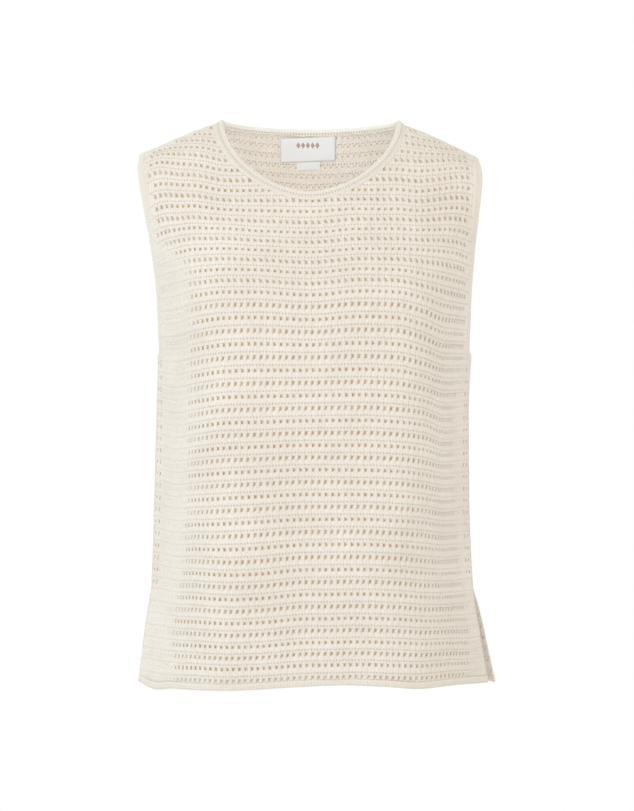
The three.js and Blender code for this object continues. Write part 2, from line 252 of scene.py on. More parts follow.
# How far each pattern row droops or lifts across the panel: pattern row, then the heights at the
# places in SWAY_X.
SWAY_X = (-158, -135, -112, -85, -55, 0, 50, 85, 112, 136, 160)
FRONT_SWAY = [
    (0, -6.5, -5.6, -4, -4.1, -3, 0, 0.9, -1, -1.7, -1.2, -2.9),
    (3, -7, -6.4, -5.5, -5.5, -4.8, -0.5, 0.2, -1.5, -3.6, -4.8, -8),
    (9, -6.5, -7.4, -5.4, -5.8, -4.8, -0.3, 0, -1.7, -5, -8, -9),
    (13, -6, -8.8, -6.1, -4.7, -2.9, 0, 0.3, -1.5, -4.1, -9, -9.5),
    (17, -6, -9.5, -6.4, -3.9, -2.4, -0.3, -0.7, -1.9, -5.4, -10.5, -10),
    (21, -5.5, -10.5, -6.6, -2.7, -1.9, -0.3, 0.2, -1.3, -4.6, -12.5, -10),
    (25, -5, -9.5, -5.8, -2.1, -1, -0.8, 0.3, -1, -6.4, -13, -11),
    (29, -7, -7.5, -2, 1.4, 1.9, -0.3, 2.8, 2, -4.3, -12.5, -13),
    (33, -6.5, -2.8, 1.6, 3.3, 2.5, 0, 3.6, 3, -1, -5.3, -9),
    (35, -6.5, -1.2, 3.4, 4.2, 2.4, 0.3, 3.7, 4.2, 3.2, 0.9, -3.2),
    (37, -2.3, 0.3, 4, 4.5, 1.9, -0.3, 4.4, 4.7, 2.4, 1.7, -1.2),
    (38, 0.7, 0.2, 3.6, 3.2, 1.4, -0.9, 3.8, 4, 1.3, 1, -0.5),
    (39, 0.7, 1, 3.9, 2.5, 1.5, -0.2, 3.6, 3.6, 0.1, -0.2, -0.8),
    (40, 2.1, 0.4, 3.1, 1.1, 0.8, -0.1, 2.7, 2.8, -1.7, -1.9, -2.2),
    (41, 2.5, 0.4, 2.4, -0.3, 0.2, 0, 0.9, 2, -2.5, -2.6, -2.9),
    (42, 5.6, 0.8, 3, -0.3, 0, 0, 1.7, 2, -2.7, -3.2, -2.2),
    (43, 7.1, 2.6, 3.5, 0, 0, 0, 1.5, 2, -2.3, -3.1, -2),
    (44, 7.2, 4.3, 5.1, 0.3, 0, 0, 1, 2, -1.5, -2.9, -4),
    (45, 2.1, 2.6, 4.5, -1.4, 0, 0, 1, 2.4, -2.6, -6.1, -8.2),
    (46, 2, 2, 3, -1.2, 0, 0, 1, 3, -2.7, -8.6, -10),
    (47, 1, 1, 1.6, 0, 0, 0, 2, 3.9, -4.7, -10.2, -12),
]
BACK_SWAY = [
    (0, -6, -4, -2.5, -1, 0.5, 0, -1.5, -1, 0.5, -0.5, -3),
    (9, -6.5, -6.5, -4.5, -2.5, -0.5, 0, -1, -1.5, -3, -6.5, -9),
    (17, -6, -8, -5.5, -2, -0.5, 0, -0.5, -1.5, -4.5, -8.5, -10),
    (25, -5, -8.5, -5, -1.5, 0.5, 0, 0, -1, -5, -9.5, -11),
    (33, -6.5, -2, 0.5, 1.5, 1, 0, 1.5, 2, 0.5, -3, -9),
    (37, 0, 3, 5, 5, 2.8, 0, 2.5, 5, 4.5, 2, -1),
    (41, 8, 10, 12, 12, 6.5, -0.5, 5, 11, 11, 9, 6),
    (42, 9, 11, 13, 12, 5.4, -0.3, 3, 10, 12, 10, 8),
    (43, 10, 12, 14, 13.5, 5.5, -0.3, 3.6, 11.5, 13, 11, 9),
    (44, 10, 12, 14, 13.3, 5.5, -0.5, 4, 10.5, 13, 11, 9),
    (45, 10, 12, 15, 16, 6, -0.5, 5.2, 14, 14, 11, 9),
]

# Soft folds and swellings of the panels: x, z, half length, half width, turn in degrees from
# level, and height, where a trough is below 0.
FRONT_FOLDS = [
    (-74, -150, 70, 44, 0, 2.5),
    (70, -156, 70, 44, 0, 2.5),
    (0, -200, 34, 60, 0, -2.2),
    (-128, -232, 46, 8, 38, -1.6),
    (132, -238, 46, 8, -40, -1.8),
    (-70, -480, 90, 16, 78, 1.6),
    (20, -520, 80, 15, 96, 1.8),
    (96, -500, 90, 17, 84, -1.8),
]
BACK_FOLDS = [
    (-60, -120, 60, 50, 0, 2.2),
    (62, -124, 60, 50, 0, 2.2),
    (0, -190, 90, 22, 90, -2.4),
    (-118, -222, 52, 9, 42, -2),
    (120, -230, 52, 9, -44, -1.8),
    (-30, -300, 80, 12, 8, -1.4),
    (24, -330, 90, 11, -6, -1.5),
    (-90, -470, 90, 17, 84, 1.8),
    (6, -510, 90, 16, 92, -1.8),
    (84, -480, 90, 18, 98, 1.8),
]

# z, how far out the eyelets still show on the left and on the right. Past that the cloth is drawn
# round the wearer's side and they all but close, and their painted shade and the dents' fade out.
SHOWING = [
    (-580, 136, 160), (-527, 135, 159), (-487, 131, 155), (-447, 124, 149), (-347, 119, 143),
    (-287, 118, 145), (-227, 117, 160), (-187, 116, 167), (-149, 124, 172), (-137, 138, 175),
    (-117, 156, 178), (-60, 200, 200),
]
showing = {-1: level_curve(SHOWING, 1), 1: level_curve(SHOWING, 2)}


def fold_height(folds, x, z):
    """How far the folds lift the cloth here."""
    height = 0
    for at_x, at_z, long, wide, turn, lift in folds:
        cosine = math.cos(math.radians(turn))
        sine = math.sin(math.radians(turn))
        along = ((x - at_x) * cosine + (z - at_z) * sine) / long
        across = ((z - at_z) * cosine - (x - at_x) * sine) / wide
        far = along * along + across * across
        if far < 9:
            height += lift * math.exp(-far)
    return height


def sway_reader(table):
    """Reads the sway at a pattern row and a place across."""
    columns = [sampled(smooth_curve(table, k + 1), -1, 54, 0.5) for k in range(len(SWAY_X))]

    def row_curve(row):
        return sampled(smooth_curve([(x, c(row)) for x, c in zip(SWAY_X, columns)]), -300, 300, 2)

    return row_curve


def run_along(places, depths, start=0):
    """The length of the cloth up to each of its points."""
    run = [start]
    for k in range(1, len(places)):
        run.append(run[-1] + math.hypot(places[k] - places[k - 1], depths[k] - depths[k - 1]))
    return run


def section_widths(face, z):
    """The cloth's length from the centre line to each place across, for each side of a section."""
    lengths = {}
    for side in (-1, 1):
        limit = side_at(face, side, z)
        # The places lie closer together towards the side, where the section turns.
        places = [limit * (1 - (1 - k / 90) ** 1.6) for k in range(91)]
        depths = [depth_at(face, side * x, z) for x in places]
        lengths[side] = (places, run_along(places, depths))
    return lengths


def height_runs(face):
    """For places across the panel, the length of the leaning cloth up to each height."""
    runs = []
    foot = face["lean_from"]
    for x in range(-CLIMB_REACH, CLIMB_REACH + 1, CLIMB_STEP):
        # The heights lie closer together towards the shoulder, where the cloth leans most.
        span = shoulder_z(x) - foot
        heights = [foot + span * (1 - (1 - k / 80) ** 2) for k in range(81)]
        # Past the shoulder's end the cloth climbs as it does there.
        depths = [depth_at(face, clamp(x, -170, 170), z) for z in heights]
        runs.append((run_along(heights, depths, foot), heights))
    return runs


def read_run(run, values, wanted):
    """Reads a value along a run of lengths, and carries on past its end."""
    k = clamp(bisect.bisect_left(run, wanted), 1, len(run) - 1)
    step = run[k] - run[k - 1]
    share = (wanted - run[k - 1]) / step if step else 0
    return values[k - 1] + (values[k] - values[k - 1]) * min(share, 1) + max(share - 1, 0) * step


def neck_edge(face, angle, side):
    """A point of the cut neck hole, from its lowest point (0) to the shoulder seam (90)."""
    x = side * NECK_HALF * max(0, math.sin(angle)) ** (2 / NECK_CURVE)
    top = shoulder_z(side * NECK_HALF)
    return x, top + (face["neck_z"] - top) * max(0, math.cos(angle)) ** (2 / NECK_CURVE)


def inside_neck(face, x, z):
    """Above 0 inside the neck hole, and below 0 on the cloth."""
    if abs(x) >= NECK_HALF:
        return -99
    side = side_of(x)
    angle = math.asin((abs(x) / NECK_HALF) ** (NECK_CURVE / 2))
    return z - neck_edge(face, angle, side)[1]


def new_piece(name, bm, material, smooth=True):
    """Turns a bmesh in millimetres into a finished object at the origin."""
    bmesh.ops.scale(bm, vec=(MM, MM, MM), verts=bm.verts)
    mesh = bpy.data.meshes.new(name)
    bm.to_mesh(mesh)
    bm.free()
    mesh.materials.append(material)
    if smooth:
        mesh.shade_smooth()
    piece = bpy.data.objects.new(name, mesh)
    bpy.context.collection.objects.link(piece)
    return piece


def new_grid(bm, wide, tall, middle=0):
    """Makes a grid, and gives the column, counted from a middle one, and the line of each point."""
    bmesh.ops.create_grid(bm, x_segments=wide, y_segments=tall, size=0.5)
    place = {}
    for vert in bm.verts:
        column = round((vert.co.x + 0.5) * wide) - middle
        place[vert] = (column, round((vert.co.y + 0.5) * tall))
    return place


def lay_uv(bm, layer, place, spot):
    """Sets a UV map from the column and the line of each point."""
    for bmface in bm.faces:
        for loop in bmface.loops:
            loop[layer].uv = spot(*place[loop.vert])


def pattern_row(line):
    """The pattern row that a line of the grid lies on."""
    if line == 0:
        return EDGE_ROW
    return (line - 1) // LINES_A_ROW + PART_LEVELS[(line - 1) % LINES_A_ROW]


def lay_cells(face, rows, sway, place):
    """Where each point of the grid lies on the cloth: its x and z."""
    level = smooth_curve(rows)
    sway_row = sway_reader(sway)
    climbs = height_runs(face)
    widths = [section_widths(face, WIDTHS_FROM + WIDTHS_STEP * k) for k in range(60)]
    underarm = section_widths(face, UNDERARM_Z)

    def across(cells, z):
        """How far out a column is at a level. The cells keep their width above the underarm."""
        side = side_of(cells)
        z_in = clamp((z - WIDTHS_FROM) / WIDTHS_STEP, 0, len(widths) - 1.001)
        k = int(z_in)
        found = []
        for lengths in (widths[k], widths[k + 1]):
            places, run = lengths[side]
            total = underarm[side][1][-1] if z > UNDERARM_Z else run[-1]
            found.append(read_run(run, places, abs(cells) / HALF_CELLS * total))
        return side * (found[0] + (found[1] - found[0]) * (z_in - k))

    def height(x, run):
        """The level of a point on the cloth whose height along the cloth is run."""
        if run <= face["lean_from"]:
            return run
        place_in = clamp((x + CLIMB_REACH) / CLIMB_STEP, 0, len(climbs) - 1.001)
        k = int(place_in)
        low = read_run(*climbs[k], run)
        high = read_run(*climbs[k + 1], run)
        return low + (high - low) * (place_in - k)

    spots = {}
    by_line = {}
    for vert, (column, line) in place.items():
        by_line.setdefault(line, []).append((column, vert))
    for line, members in by_line.items():
        row = pattern_row(line)
        base = level(row)
        sways = sway_row(row)
        # Every second row of eyelets sits a quarter of a cell to the side of its neighbours.
        nearest = round(row)
        shift = 0.125 * (1 if nearest % 2 else -1) * max(0, 1 - 3 * abs(row - nearest))
        for column, vert in members:
            cells = column / CELL_SPLIT
            fade = 1 - (abs(cells) / HALF_CELLS) ** 12
            cells += shift * fade
            x = across(cells, base)
            # The height depends on the place across, and the other way round.
            for _ in range(2):
                z = height(x, base + sways(x))
                if row < 1:
                    # The lowest rows follow the hem's waves.
                    foot = hem_line(face, x, HEM_Z + HEM_BAND + 0.1)
                    z = foot if line == 0 else foot + (z - foot) * (0.75 + 0.25 * row)
                x = across(cells, min(z, 0))
            spots[vert] = [x, z]
    return spots


def middle_of(bmface, spots):
    """The x and z of the middle of a face of the grid."""
    return [sum(spots[vert][axis] for vert in bmface.verts) / 4 for axis in (0, 1)]


def cut_outline(bm, face, place, spots):
    """Cuts the neck, the armholes and the shoulders, and draws the cut edge onto their lines."""
    def outside(x, z):
        if z > shoulder_z(x) - 0.4 or inside_neck(face, x, z) > 0:
            return True
        return z > UNDERARM_Z and abs(x) > armhole_out[side_of(x)](z)

    doomed = [bmface for bmface in bm.faces if outside(*middle_of(bmface, spots))]
    bmesh.ops.delete(bm, geom=doomed, context="FACES")
    neck_line = [neck_edge(face, math.radians(a / 4), s) for s in (-1, 1) for a in range(361)]
    for vert in bm.verts:
        if not vert.is_boundary or place[vert][1] == 0:
            continue
        x, z = spots[vert]
        side = side_of(x)
        nearer_armhole = armhole_out[side](z) - abs(x) < shoulder_z(x) - z + 1
        if z > UNDERARM_Z - 3 and abs(x) > 140 and nearer_armhole:
            if z > UNDERARM_Z:
                spots[vert] = [side * armhole_out[side](z), z]
        elif z > shoulder_z(x) - 6 and abs(x) > NECK_HALF - 4:
            pass
        elif abs(x) < NECK_HALF + 6 and z > face["neck_z"] - 8:
            spots[vert] = list(min(neck_line, key=lambda p: math.hypot(p[0] - x, p[1] - z)))
        x, z = spots[vert]
        if z > shoulder_z(x) - 4.5:
            spots[vert] = [x, shoulder_z(x)]


def find_eyelets(bm, face, place, spots):
    """The middle strip of the lowest part of every cell that no cut edge runs through."""
    def near_edge(x, z):
        if z > shoulder_z(x) - 3.0 or inside_neck(face, x, z) > -1.6:
            return True
        return z > UNDERARM_Z and abs(x) > armhole_out[side_of(x)](z) - 4.5

    eyelets = []
    for bmface in bm.faces:
        left = min(place[vert][0] for vert in bmface.verts)
        low = min(place[vert][1] for vert in bmface.verts)
        if low % LINES_A_ROW != 1 or (left + HALF_STRIPS) % CELL_SPLIT != 1:
            continue
        x, z = middle_of(bmface, spots)
        # Beside the slits only the back's eyelets go on to the edge.
        last = 3 if face is FRONT and z < SLIT_TOP_Z or z > UNDERARM_Z - 14 else 0
        if not near_edge(x, z) and abs(left) < HALF_STRIPS - last:
            eyelets.append(bmface)
    return eyelets


def shape_eyelets(eyelets, place, spots):
    """Draws the corners of each eyelet to its shape: a slant on even rows and a bow on odd ones."""
    chance = random.Random(4)
    for bmface in eyelets:
        left = min(place[vert][0] for vert in bmface.verts)
        low = min(place[vert][1] for vert in bmface.verts)
        row = (low - 1) // LINES_A_ROW
        spread = [spots[vert][0] for vert in bmface.verts]
        # The share of the cloth's width that is seen from the front here.
        seen = min(1, (max(spread) - min(spread)) / STRIP_WIDE)
        x, z = spots[bmface.verts[0]]
        # Eyelets are opened wider on the shoulders.
        high = clamp((z - shoulder_z(x) + 110) / 40)
        wobble = chance.uniform(-0.25, 0.25)
        for vert in bmface.verts:
            right = place[vert][0] > left
            upper = place[vert][1] > low
            spots[vert][0] += seen * (0.10 + 0.18 * high) * (1 if right else -1)
            spots[vert][1] += 0.3 * high * (1 if upper else -1)
            if row % 2:
                # Leans on its right edge, like a bow.
                spots[vert][1] += (-0.55 if upper else 0.55) if right else 0
                spots[vert][0] += seen * (wobble + (0.35 if right else -0.05))
            else:
                # Slants up to the right, or to the left above the chest.
                slant = 0.5 if row < 31 else -0.4
                spots[vert][0] += seen * (wobble + (slant if upper else -slant))
                spots[vert][0] += seen * (0.15 if right else -0.15)


def raise_relief(bm, face, place, spots, folds, wall_share, dent_shade_share):
    """Swells the smooth part of each pattern row and the bars between the eyelets, lays in the
    folds, and notes how thick the wall is and how strongly the dents' painted shade shows."""
    eyelet_swell = -0.35
    bar_swell = 0.3
    row_swell = 0.4
    normals = {vert: vert.normal.copy() for vert in bm.verts}
    for vert in bm.verts:
        column, line = place[vert]
        x, z = spots[vert]
        below_shoulder = shoulder_z(x) - z
        still = 1 - (abs(column) / HALF_STRIPS) ** 10
        swell = row_swell if line % LINES_A_ROW == 0 else eyelet_swell
        if line % LINES_A_ROW and column % CELL_SPLIT == 0:
            swell = bar_swell
        if line == 0:
            swell = 0
        if face is BACK:
            swell *= 0.25 + 0.75 * clamp((below_shoulder - 60) / 45)
        # The outlines stay where the bands hold them.
        cut = clamp(below_shoulder / 14) * clamp(-inside_neck(face, x, z) / 16)
        if z > UNDERARM_Z:
            cut *= clamp((armhole_out[side_of(x)](z) - abs(x)) / 14)
        lift = swell * still * min(1, cut * 3) + fold_height(folds, x, z) * still * cut
        normal = normals[vert]
        vert[wall_share][0] = 1.0
        # How strongly the dents' painted shade shows here: less towards the sides.
        vert[dent_shade_share] = clamp((showing[side_of(x)](z) + 20 - abs(x)) / 40, 0.3)
        # At a seam both panels end in the seam's plane, and their walls thin out towards it.
        from_seam = 3
        if SLIT_TOP_Z < z < UNDERARM_Z + 6:
            from_seam = min(HALF_STRIPS - abs(column), 3)
        if below_shoulder < 4:
            from_seam = min(from_seam, below_shoulder / 1.5)
        if from_seam < 3:
            vert[wall_share][0] = 0.15 + 0.28 * from_seam
            if from_seam < 0.2:
                normal.y = 0
                normal.normalize()
        vert.co += normal * (lift + FACE_OFF)


def sink_eyelets(bm, face, eyelets, place, shade):
    """Makes each eyelet a pit: the float behind it lies a little below the face of the knit. Pits
    are shallow on the shoulders and flat on the sides, next to the seams and where the back's
    other side shows, through the neck and beside the slits."""
    deep = -1.05
    shallow = -0.7
    flat = 0.0
    groups = {deep: [], shallow: [], flat: []}
    for bmface in eyelets:
        middle = bmface.calc_center_median()
        below_shoulder = shoulder_z(middle.x) - middle.z
        limit = showing[side_of(middle.x)](middle.z)
        strength = clamp((limit + 9 - abs(middle.x)) / 22, 0.06)
        # The last two columns before the seam open a little again, and so do the back's at a slit.
        from_side = HALF_STRIPS - min(abs(place[vert][0]) for vert in bmface.verts)
        if from_side < 8:
            if middle.z > SLIT_TOP_Z + 40:
                strength = max(strength, 0.55)
            elif middle.z > SLIT_TOP_Z or face is BACK:
                strength = max(strength, 0.75)
        if min(place[vert][1] for vert in bmface.verts) < LINES_A_ROW:
            strength *= 0.6
        depth = flat if strength < 0.3 else shallow if strength < 0.8 else deep
        if below_shoulder < 55:
            depth = max(depth, shallow)
        beside_slit = from_side < 8 and middle.z < SLIT_TOP_Z + 12
        if from_side < 4 or face is BACK and (beside_slit or below_shoulder < 95):
            depth = flat
        groups[depth].append((bmface, strength))
    for depth, group in groups.items():
        faces = [bmface for bmface, _ in group]
        bmesh.ops.inset_individual(
            bm, faces=faces, thickness=0.10, depth=depth, use_even_offset=True
        )
        # Notes on each pit's floor how strongly the eyelet's tan painted shade shows.
        for bmface, strength in group:
            for vert in bmface.verts:
                vert[shade] = strength


def knit_panel(face, rows, sway, folds):
    """One panel: a grid of cells laid over the form, cut to its outline and sunk with eyelet pits.
    """
    bm = bmesh.new()
    uv = bm.loops.layers.uv.new("cells")
    wall_share = bm.verts.layers.deform.verify()
    shade = bm.verts.layers.float.new("shade")
    dent_shade_share = bm.verts.layers.float.new("open")
    place = new_grid(bm, 2 * HALF_STRIPS, LINES_A_ROW * PATTERN_ROWS + 1, HALF_STRIPS)
    lay_uv(bm, uv, place, lambda column, line: (column / CELL_SPLIT, pattern_row(line)))
    spots = lay_cells(face, rows, sway, place)
    cut_outline(bm, face, place, spots)
    eyelets = find_eyelets(bm, face, place, spots)
    shape_eyelets(eyelets, place, spots)
    for vert in bm.verts:
        vert.co = point_at(face, *spots[vert])
    if face is BACK:
        bmesh.ops.reverse_faces(bm, faces=bm.faces)
    bm.normal_update()
    raise_relief(bm, face, place, spots, folds, wall_share, dent_shade_share)
    sink_eyelets(bm, face, eyelets, place, shade)
    piece = new_piece(f"{face['name']}_knit", bm, KNIT)
    piece.data.materials.append(KNIT_REVERSE)
    piece.vertex_groups.new(name="wall")
    wall = piece.modifiers.new("cloth", "SOLIDIFY")
    wall.thickness = WALL_THICK * MM
    wall.offset = -1
    wall.vertex_group = "wall"
    wall.material_offset = 1
    return piece


# ---- Bands ----

# The length of a band between two of its stations.
STATION_STEP = 0.83


def resampled(stations):
    """Even stations round a closed loop of (point, normal), and the loop's length."""
    loop = stations + [stations[0]]
    run = [0]
    for (before, _), (after, _) in zip(loop, loop[1:]):
        run.append(run[-1] + (after - before).length)
    count = int(round(run[-1] / STATION_STEP))
    even = []
    k = 0
    for n in range(count):
        wanted = run[-1] * n / count
        while run[k + 1] < wanted:
            k += 1
        share = (wanted - run[k]) / (run[k + 1] - run[k])
        point = loop[k][0].lerp(loop[k + 1][0], share)
        normal = loop[k][1].lerp(loop[k + 1][1], share).normalized()
        even.append((point, normal))
    return even, run[-1]


def station(face, x, z, seam=False):
    """A point of a cut edge and the cloth's normal there, level in the plane of a seam."""
    normal = normal_at(face, x, z)
    if not seam:
        return point_at(face, x, z), normal
    normal.y = 0
    return Vector((x, 0, z)), normal.normalized()


def neck_stations():
    """The cut neck edge, from the front's centre by the right shoulder and round the back. The
    band stands up a little steeper than the shoulders where it crosses their seams."""
    def run(face, side, angles):
        found = []
        for angle in angles:
            x, z = neck_edge(face, math.radians(angle), side)
            point, normal = station(face, x, z, angle == 90)
            normal.x += side * NECK_TILT[side] * max(0, 1 - (shoulder_z(x) - z) / 24)
            found.append((point, normal.normalized()))
        return found

    up = list(range(0, 88, 2)) + [88, 89]
    stations = run(FRONT, 1, up + [90]) + run(BACK, 1, up[::-1])
    stations += run(BACK, -1, up[1:] + [90]) + run(FRONT, -1, up[:0:-1])
    return stations


def armhole_stations(side):
    """The cut armhole edge, up the front from the underarm and down the back."""
    top_x = side * armhole_out[side](-34)
    top_z = shoulder_z(top_x)
    # The stations lie closest together at the underarm, where the edge turns.
    levels = [UNDERARM_Z + k * 0.5 for k in range(1, 14)]
    levels += [-240 + k * 4 for k in range(1, 49)]
    levels = [z for z in levels if z < top_z - 1.5]
    levels += [top_z - 1.0, top_z - 0.4]

    def run(face, heights):
        found = []
        for z in heights:
            ease = clamp((z + 50) / (top_z + 50))
            x = side * armhole_out[side](z) * (1 - ease) + top_x * ease
            found.append(station(face, x, min(z, shoulder_z(x) - 0.3)))
        return found

    start = station(FRONT, side * armhole_out[side](UNDERARM_Z), UNDERARM_Z, True)
    end = station(FRONT, top_x, top_z, True)
    return [start] + run(FRONT, levels) + [end] + run(BACK, levels[::-1])


def smoothed(stations, rounds):
    """Evens out the stations' points and normals, so that a band has no kinks."""
    for _ in range(rounds):
        loop = [stations[-1]] + stations + [stations[0]]
        stations = [
            ((a[0] + b[0] * 2 + c[0]) / 4, (a[1] + b[1] * 2 + c[1]).normalized())
            for a, b, c in zip(loop, loop[1:], loop[2:])
        ]
    return stations


def band(name, stations, section, rib_depth, marks):
    """Sweeps a section round a loop, on the side of its hole, with ribs across it."""
    even, length = resampled(stations)
    even = smoothed(even, 3)
    count = len(even)
    rib_count = round(length / WALE_WIDE)
    hole = sum((point for point, _ in even), Vector()) / count
    around = len(section)
    bm = bmesh.new()
    uv = bm.loops.layers.uv.new("cells")
    mark_share = bm.verts.layers.float.new("marks")
    inner_share = bm.verts.layers.float.new("inner")
    sideways = []
    for k, (point, normal) in enumerate(even):
        tangent = even[(k + 1) % count][0] - even[k - 1][0]
        inwards = tangent.cross(normal).normalized()
        if inwards.dot(hole - point) < 0:
            inwards.negate()
        sideways.append(inwards)
    place = new_grid(bm, count, around)
    lay_uv(bm, uv, place, lambda k, m: (k / count * rib_count, section[m % around][0]))
    for vert, (k, m) in place.items():
        point, normal = even[k % count]
        reach, off, ribbed = section[m % around]
        wave = math.cos(2 * math.pi * (k % count) / count * rib_count)
        off += math.copysign(rib_depth * ribbed * wave, off)
        vert[mark_share] = marks
        vert[inner_share] = 1 if off < 0 else 0
        vert.co = point + sideways[k % count] * reach + normal * off
    bmesh.ops.remove_doubles(bm, verts=bm.verts, dist=1e-4)
    bmesh.ops.recalc_face_normals(bm, faces=bm.faces)
    return new_piece(name, bm, RIB)


# ---- Materials ----

# A whole turn in radians.
TURN = 6.2832


def linear(code):
    """An sRGB hex colour as linear light."""
    levels = [int(code[k : k + 2], 16) / 255 for k in (1, 3, 5)]
    return [c / 12.92 if c <= 0.04045 else ((c + 0.055) / 1.055) ** 2.4 for c in levels] + [1]


# The setting that a word after a node's kind gives.
MODES = {
    "Attribute": "attribute_name",
    "MapRange": "interpolation_type",
    "Math": "operation",
    "Mix": "data_type",
    "TexWave": "bands_direction",
    "TexWhiteNoise": "noise_dimensions",
    "UVMap": "uv_map",
}


def node(tree, kind, *values, sockets=None, out=0):
    """Adds a node with its settings and links, and returns one of its outputs. A word after the
    kind is its mode. The values go to its inputs in order, or by name in sockets: an output is
    linked, and anything else is set."""
    kind, *mode = kind.split()
    made = tree.nodes.new("ShaderNode" + kind)
    for word in mode:
        setattr(made, MODES[kind], word)
    given = list(zip([socket for socket in made.inputs if socket.enabled], values))
    given += [(made.inputs[name], value) for name, value in (sockets or {}).items()]
    for socket, value in given:
        if isinstance(value, bpy.types.NodeSocket):
            tree.links.new(value, socket)
        else:
            socket.default_value = value
    outputs = made.outputs if isinstance(out, str) else [s for s in made.outputs if s.enabled]
    return outputs[out] if outputs else None


def blank_material(name):
    """A material without nodes, and the function that adds one to it."""
    material = bpy.data.materials.new(name)
    material.use_nodes = True
    material.node_tree.nodes.clear()
    return material, partial(node, material.node_tree)


def finish_surface(add, colour, height, distance, roughness, sheen=0.25):
    """The shader of yarn or tape, with its bump, which is distance metres deep."""
    bump = add("Bump", 1.0, distance, sockets={"Height": height})
    sockets = {
        "Base Color": colour,
        "Roughness": roughness,
        "Normal": bump,
        "Sheen Weight": sheen,
        "Sheen Roughness": 0.5,
        "Specular IOR Level": 0.3,
    }
    add("OutputMaterial", add("BsdfPrincipled", sockets=sockets))


def knit_material(name, eyelet_size, eyelet_shade_tone, dent_shade_tone, dent_level, gap_shade_tone):
    """Cotton and viscose yarn, flat knitted in openwork. Matt, warm off-white, with slanted
    stitches and painted shade in the gaps between them, a row of small dents between the rows of
    eyelets with painted shade in them and in a thin line along their row, and tan painted shade
    inside each eyelet. On its reverse the eyelets close to small brown marks of the same painted
    shade."""
    material, add = blank_material(name)
    u = add("SeparateXYZ", add("UVMap cells"))
    v = u.node.outputs["Y"]
    place = add("TexCoord", out="Object")

    def length(first, second):
        """The distance from the middle of a pattern, by several nodes."""
        first = add("Math MULTIPLY", first, first)
        second = add("Math MULTIPLY", second, second)
        return add("Math SQRT", add("Math ADD", first, second))

    fuzz = add("TexNoise", place, 620.0, 2.0, 0.55)
    drift = add("TexNoise", place, 16.0, 3.0, 0.55)
    # Yarn that is a little thicker or thinner from stitch to stitch, 3 mm apart.
    uneven = add("TexNoise", place, 310.0, 1.0, 0.55)

    # Dents: two a cell, a part of a row above the eyelets, leaning to the right. The bump sinks
    # them and painted shade darkens them.
    dent_y = add("Math SUBTRACT", add("Math FRACT", add("Math ADD", v, 0.5 - dent_level)), 0.5)
    dent_y = add("Math MULTIPLY", dent_y, ROW_TALL)
    dent_x = add("Math SUBTRACT", add("Math FRACT", add("Math MULTIPLY", u, 2.0)), 0.5)
    dent_x = add("Math MULTIPLY", dent_x, WALE_WIDE)
    dent_x = add("Math SUBTRACT", dent_x, add("Math MULTIPLY", dent_y, 0.35))
    dent_and_shade = add("MapRange SMOOTHSTEP", length(dent_x, dent_y), 0.35, 1.25, 1.0, 0.0)
    full = add("MapRange SMOOTHSTEP", uneven, 0.32, 0.62, 0.65, 1.0)
    dent_and_shade = add("Math MULTIPLY", dent_and_shade, full)
    # Their painted shade fades with the eyelets', towards the sides.
    dent_and_shade = add("Math MULTIPLY", dent_and_shade, add("Attribute open", out="Fac"))

    # Eyelets: a slanted oval on even rows, and on odd ones a bow with its flat edge on the left.
    hole_x = add("Math MULTIPLY", add("Math SUBTRACT", add("Math FRACT", u), 0.5), CELL_WIDE)
    row = add("Math FLOOR", add("Math ADD", v, 0.5))
    hole_y = add("Math MULTIPLY", add("Math SUBTRACT", v, row), ROW_TALL)
    odd = add("Math MODULO", add("Math ADD", row, 100.0), 2.0)
    bow_x = add("Math MAXIMUM", add("Math ADD", hole_x, 0.45), 0.0)
    shapes = []
    for x, wide, tall in ((hole_x, 1.15, 2.15), (bow_x, 1.5, 1.95)):
        x = add("Math DIVIDE", x, wide * eyelet_size)
        shapes.append(length(x, add("Math DIVIDE", hole_y, tall * eyelet_size)))
    from_hole = add("Mix FLOAT", odd, *shapes)
    pit = add("Math MINIMUM", add("Math MULTIPLY", add("Attribute shade", out="Fac"), 1.5), 1.0)
    # Each eyelet's own strength of painted shade, which differs at random.
    chance = add("TexWhiteNoise 2D", add("CombineXYZ", add("Math FLOOR", u), row))
    own_shade = add("Math MULTIPLY_ADD", chance, 0.3 * eyelet_shade_tone, 0.6 * eyelet_shade_tone)
    # The eyelet's painted shade: strongest in its middle, and as strong as its pit's note and its
    # own strength allow.
    depth = add("MapRange SMOOTHSTEP", from_hole, 0.5, 1.25, 1.0, 0.0)
    depth = add("Math MULTIPLY", add("Math MULTIPLY", depth, own_shade), pit)

    # Stitches: strokes that lean left and right by turns, one at each of the wales, 3.2 mm apart.
    lean = add("Math MULTIPLY", v, COURSES_A_ROW)
    lean = add("Math MULTIPLY", add("Math PINGPONG", lean, 1.0), 0.9)
    turn = add("Math SUBTRACT", add("Math MULTIPLY", u, 2.0), lean)
    turn = add("Math ADD", turn, add("Math MULTIPLY", uneven, 0.7))
    strokes = add("Math COSINE", add("Math MULTIPLY", turn, TURN))
    courses = add("Math MULTIPLY", add("Math SUBTRACT", v, 0.42), TURN * COURSES_A_ROW)
    courses = add("Math MULTIPLY", add("Math COSINE", courses), 0.22)
    knit = add("Math MULTIPLY_ADD", strokes, 0.5, courses)
    # A thin line of painted shade along the dents' row, and painted shade in the gaps between the
    # stitches, which varies with the uneven yarn.
    line = add("MapRange SMOOTHSTEP", add("Math ABSOLUTE", dent_y), 0.2, 0.9, 1.0, 0.0)
    full = add("MapRange SMOOTHSTEP", uneven, 0.3, 0.7, 0.35, 1.0)
    gap_shade = add("Math MULTIPLY", add("MapRange SMOOTHSTEP", knit, -0.75, 0.35, 1.0, 0.0), full)

